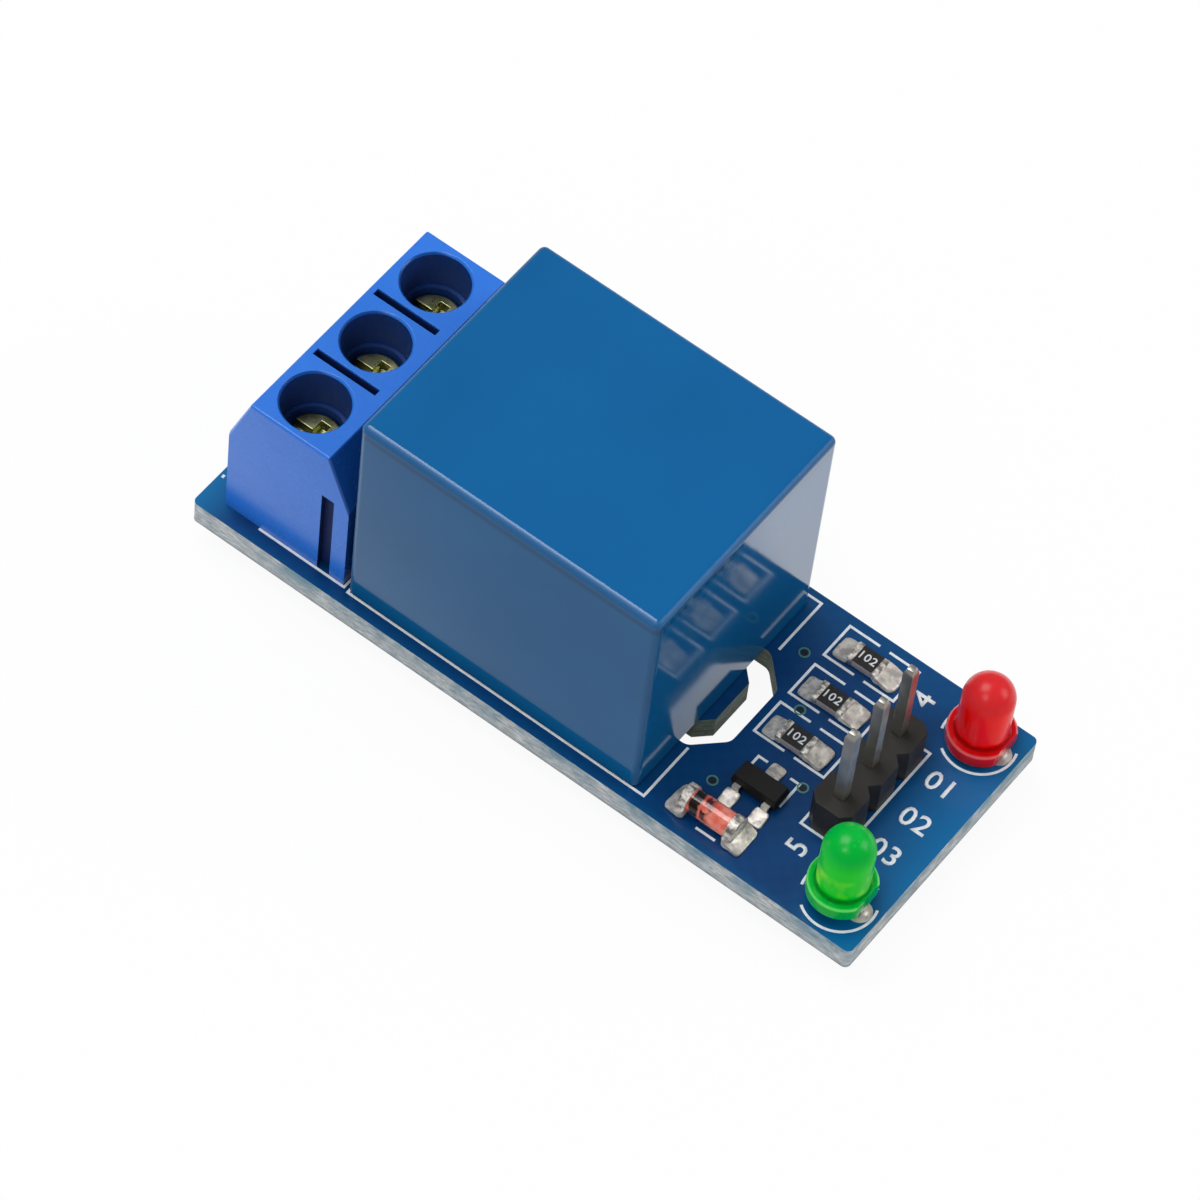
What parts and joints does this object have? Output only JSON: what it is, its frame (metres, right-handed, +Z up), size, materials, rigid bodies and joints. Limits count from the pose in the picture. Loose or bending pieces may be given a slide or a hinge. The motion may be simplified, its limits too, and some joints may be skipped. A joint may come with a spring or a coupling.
{
  "type": "relay module board",
  "caption": "Small relay module board: blue circuit board with a sealed relay, a screw terminal block at one end, and a pin header, indicator lamps and chip parts at the other.",
  "frame": {"origin": "middle of the board in plan, at the height of the trimmed tips of the solder tails that it stands on", "axes": "+X along the board from the screw terminal towards the pin header, +Z up from the board's component side"},
  "size_m": [0.0436, 0.017, 0.0184],
  "materials": {
    "board_mask": "glossy dark blue solder mask on glass-epoxy",
    "terminal_plastic": "smooth moulded blue",
    "relay_plastic": "smooth moulded blue",
    "relay_base_plastic": "moulded blue, sealed with resin",
    "magnet_iron": "plated soft iron",
    "bobbin_plastic": "moulded black",
    "coil_wire": "enamelled copper winding",
    "tinned_pin": "bright tin",
    "contact_brass": "rolled, plain",
    "header_plastic": "moulded black",
    "header_pin": "bright tin",
    "tinned_cap": "bright tin",
    "transistor_plastic": "moulded black",
    "diode_glass": "clear red-orange glass",
    "lens_red": "diffusing red resin",
    "lens_green": "diffusing green resin",
    "solder": "bright, smooth",
    "clamp_steel": "plated, smooth",
    "screw_steel": "plated, slightly yellow-green",
    "resistor_ceramic": "white ceramic under black glaze"
  },
  "bodies": {
    "board": {"circuit_board": "board_mask", "diode_end_caps": "tinned_cap", "diode_glass": "diode_glass", "header_base": "header_plastic", "header_pin_1": "header_pin", "header_pin_2": "header_pin", "header_pin_3": "header_pin", "led_green_leads": "tinned_pin", "led_green_lens": "lens_green", "led_red_leads": "tinned_pin", "led_red_lens": "lens_red", "relay_base": "relay_base_plastic", "relay_bobbin": "bobbin_plastic", "relay_case": "relay_plastic", "relay_closed_contact": "contact_brass", "relay_coil": "coil_wire", "relay_coil_pin_1": "tinned_pin", "relay_coil_pin_2": "tinned_pin", "relay_common_terminal": "contact_brass", "relay_core": "magnet_iron", "relay_open_contact": "contact_brass", "relay_yoke": "magnet_iron", "resistor_1": "resistor_ceramic", "resistor_2": "resistor_ceramic", "resistor_3": "resistor_ceramic", "resistor_end_caps": "tinned_cap", "solder_topside": "solder", "solder_underside": "solder", "terminal_frame_1": "clamp_steel", "terminal_frame_2": "clamp_steel", "terminal_frame_3": "clamp_steel", "terminal_housing": "terminal_plastic", "transistor_body": "transistor_plastic", "transistor_leads": "tinned_pin"},
    "clamp_1": {"pressure_plate_1": "clamp_steel"},
    "screw_1": {"terminal_screw_1": "screw_steel"},
    "clamp_2": {"pressure_plate_2": "clamp_steel"},
    "screw_2": {"terminal_screw_2": "screw_steel"},
    "clamp_3": {"pressure_plate_3": "clamp_steel"},
    "screw_3": {"terminal_screw_3": "screw_steel"},
    "armature": {"relay_armature": "magnet_iron", "relay_contact_spring": "contact_brass"}
  },
  "joints": [
    {"name": "clamp_1_lift", "type": "slide", "parent": "board", "child": "clamp_1", "axis": [0, 0, 1], "range_m": [0, 0.0022]},
    {"name": "screw_1_turn", "type": "hinge", "parent": "clamp_1", "child": "screw_1", "pos_m": [-0.0166, -0.00508, 0.0106], "axis": [0, 0, 1], "range_deg": [0, 1585]},
    {"name": "clamp_2_lift", "type": "slide", "parent": "board", "child": "clamp_2", "axis": [0, 0, 1], "range_m": [0, 0.0022]},
    {"name": "screw_2_turn", "type": "hinge", "parent": "clamp_2", "child": "screw_2", "pos_m": [-0.0166, 0, 0.0106], "axis": [0, 0, 1], "range_deg": [0, 1585]},
    {"name": "clamp_3_lift", "type": "slide", "parent": "board", "child": "clamp_3", "axis": [0, 0, 1], "range_m": [0, 0.0022]},
    {"name": "screw_3_turn", "type": "hinge", "parent": "clamp_3", "child": "screw_3", "pos_m": [-0.0166, 0.00508, 0.0106], "axis": [0, 0, 1], "range_deg": [0, 1585]},
    {"name": "armature_rock", "type": "hinge", "parent": "board", "child": "armature", "pos_m": [0.0029, 0, 0.01372], "axis": [0, -1, 0], "range_deg": [0, 4.5], "stiffness_Nm_per_rad": 0.0006, "springref_deg": -20.05}
  ],
  "couplings": [
    {"joint": "screw_1_turn", "follows": "clamp_1_lift", "rad_per_m": 12566},
    {"joint": "screw_2_turn", "follows": "clamp_2_lift", "rad_per_m": 12566},
    {"joint": "screw_3_turn", "follows": "clamp_3_lift", "rad_per_m": 12566}
  ]
}
